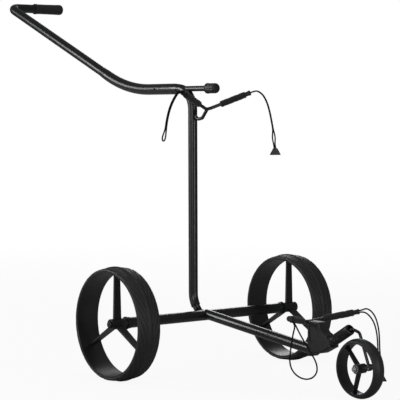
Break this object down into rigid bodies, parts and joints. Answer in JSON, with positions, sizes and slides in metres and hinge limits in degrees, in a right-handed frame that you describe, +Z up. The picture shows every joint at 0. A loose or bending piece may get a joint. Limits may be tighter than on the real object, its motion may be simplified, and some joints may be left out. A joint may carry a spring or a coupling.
{
  "type": "golf push cart",
  "caption": "Black three-wheeled tubular golf push cart with a side grip, two padded bag cradles with elastic cords and a clamp knob, shown without a bag.",
  "frame": {"origin": "on the ground under the middle of the cart's length and width", "axes": "+X towards the cart's right-hand wheel, +Y from the front wheel towards the handle, +Z up"},
  "size_m": [0.642, 1.6212, 1.011],
  "materials": {
    "tube_paint": "satin black powder coat",
    "wire_paint": "satin black powder coat",
    "rim_plastic": "satin moulded black",
    "tyre_rubber": "matt black, grooved tread",
    "front_tyre_rubber": "matt black, smooth tread",
    "casting_plastic": "fine-grained black",
    "sleeve_plastic": "matt black, knurled",
    "knob_plastic": "matt black, fluted",
    "button_plastic": "satin black",
    "pad_foam": "closed-cell foam sleeve",
    "grip_foam": "soft dark grey grip",
    "cord_elastic": "round braided elastic",
    "cap_plastic": "satin black",
    "bright_steel": "zinc-plated",
    "dark_steel": "blackened"
  },
  "bodies": {
    "frame": {"axle_tube": "tube_paint", "front_tube": "tube_paint", "junction_screws": "dark_steel", "hinge_bracket": "tube_paint", "hinge_bolt": "dark_steel", "hinge_nut": "dark_steel", "front_casting": "casting_plastic", "left_axle_socket": "tube_paint", "left_axle_collar": "sleeve_plastic", "left_stub_axle": "bright_steel", "right_axle_socket": "tube_paint", "right_axle_collar": "sleeve_plastic", "right_stub_axle": "bright_steel", "lower_cradle_rod": "wire_paint", "lower_cradle_stem": "wire_paint", "lower_right_toggle": "cap_plastic", "lower_left_pad": "pad_foam", "lower_left_end_cap": "cap_plastic", "lower_left_cord": "cord_elastic", "lower_right_pad": "pad_foam", "lower_right_end_cap": "cap_plastic", "lower_right_cord": "cord_elastic"},
    "mast": {"mast_tube": "tube_paint", "mast_foot": "tube_paint", "draw_bolt_guide": "tube_paint", "expander_wedge": "bright_steel", "upper_cradle_rod": "wire_paint", "upper_cradle_stem": "wire_paint", "upper_right_toggle": "cap_plastic", "upper_left_pad": "pad_foam", "upper_left_end_cap": "cap_plastic", "upper_left_cord": "cord_elastic", "upper_right_pad": "pad_foam", "upper_right_end_cap": "cap_plastic", "upper_right_cord": "cord_elastic"},
    "handle": {"handle_elbow": "tube_paint", "elbow_screw": "dark_steel", "handle_tube": "tube_paint", "grip": "grip_foam"},
    "knob": {"clamp_knob": "knob_plastic", "draw_bolt": "bright_steel"},
    "left_wheel": {"left_tyre": "tyre_rubber", "left_rim": "rim_plastic", "left_hub_bearings": "bright_steel", "left_button_guide": "rim_plastic"},
    "right_wheel": {"right_tyre": "tyre_rubber", "right_rim": "rim_plastic", "right_hub_bearings": "bright_steel", "right_button_guide": "rim_plastic"},
    "left_button": {"left_release_button": "button_plastic"},
    "right_button": {"right_release_button": "button_plastic"},
    "sleeve": {"tracking_sleeve": "sleeve_plastic"},
    "fork": {"fork_rod": "wire_paint", "front_axle_bolt": "bright_steel", "front_axle_nut": "bright_steel", "front_spacer": "bright_steel"},
    "front_wheel": {"front_rim": "rim_plastic", "front_tyre": "front_tyre_rubber", "front_bearings": "bright_steel"}
  },
  "joints": [
    {"name": "left_wheel_spin", "type": "hinge", "parent": "frame", "child": "left_wheel", "pos_m": [-0.288, -0.1564, 0.145], "axis": [1, 0, 0], "continuous": true},
    {"name": "right_wheel_spin", "type": "hinge", "parent": "frame", "child": "right_wheel", "pos_m": [0.288, -0.1564, 0.145], "axis": [1, 0, 0], "continuous": true},
    {"name": "front_wheel_spin", "type": "hinge", "parent": "fork", "child": "front_wheel", "pos_m": [0, -0.7389, 0.0717], "axis": [1, 0, 0], "continuous": true},
    {"name": "left_release_push", "type": "slide", "parent": "left_wheel", "child": "left_button", "axis": [1, 0, 0], "range_m": [0, 0.003], "stiffness_N_per_m": 600},
    {"name": "right_release_push", "type": "slide", "parent": "right_wheel", "child": "right_button", "axis": [-1, 0, 0], "range_m": [0, 0.003], "stiffness_N_per_m": 600},
    {"name": "mast_fold", "type": "hinge", "parent": "frame", "child": "mast", "pos_m": [0, -0.1284, 0.15], "axis": [1, 0, 0], "range_deg": [0, 78]},
    {"name": "handle_swivel", "type": "hinge", "parent": "mast", "child": "handle", "pos_m": [0, 0.0436, 0.74], "axis": [0, 1, 0], "range_deg": [-180, 180]},
    {"name": "clamp_knob_turn", "type": "hinge", "parent": "mast", "child": "knob", "pos_m": [0, -0.1564, 0.74], "axis": [0, 1, 0], "range_deg": [0, 360]},
    {"name": "sleeve_turn", "type": "hinge", "parent": "frame", "child": "sleeve", "pos_m": [0, -0.6454, 0.127], "axis": [0, -0.866, 0.5], "range_deg": [0, 90]},
    {"name": "fork_tracking", "type": "hinge", "parent": "frame", "child": "fork", "pos_m": [0, -0.6454, 0.127], "axis": [0, -0.866, 0.5], "range_deg": [-8, 8]}
  ]
}
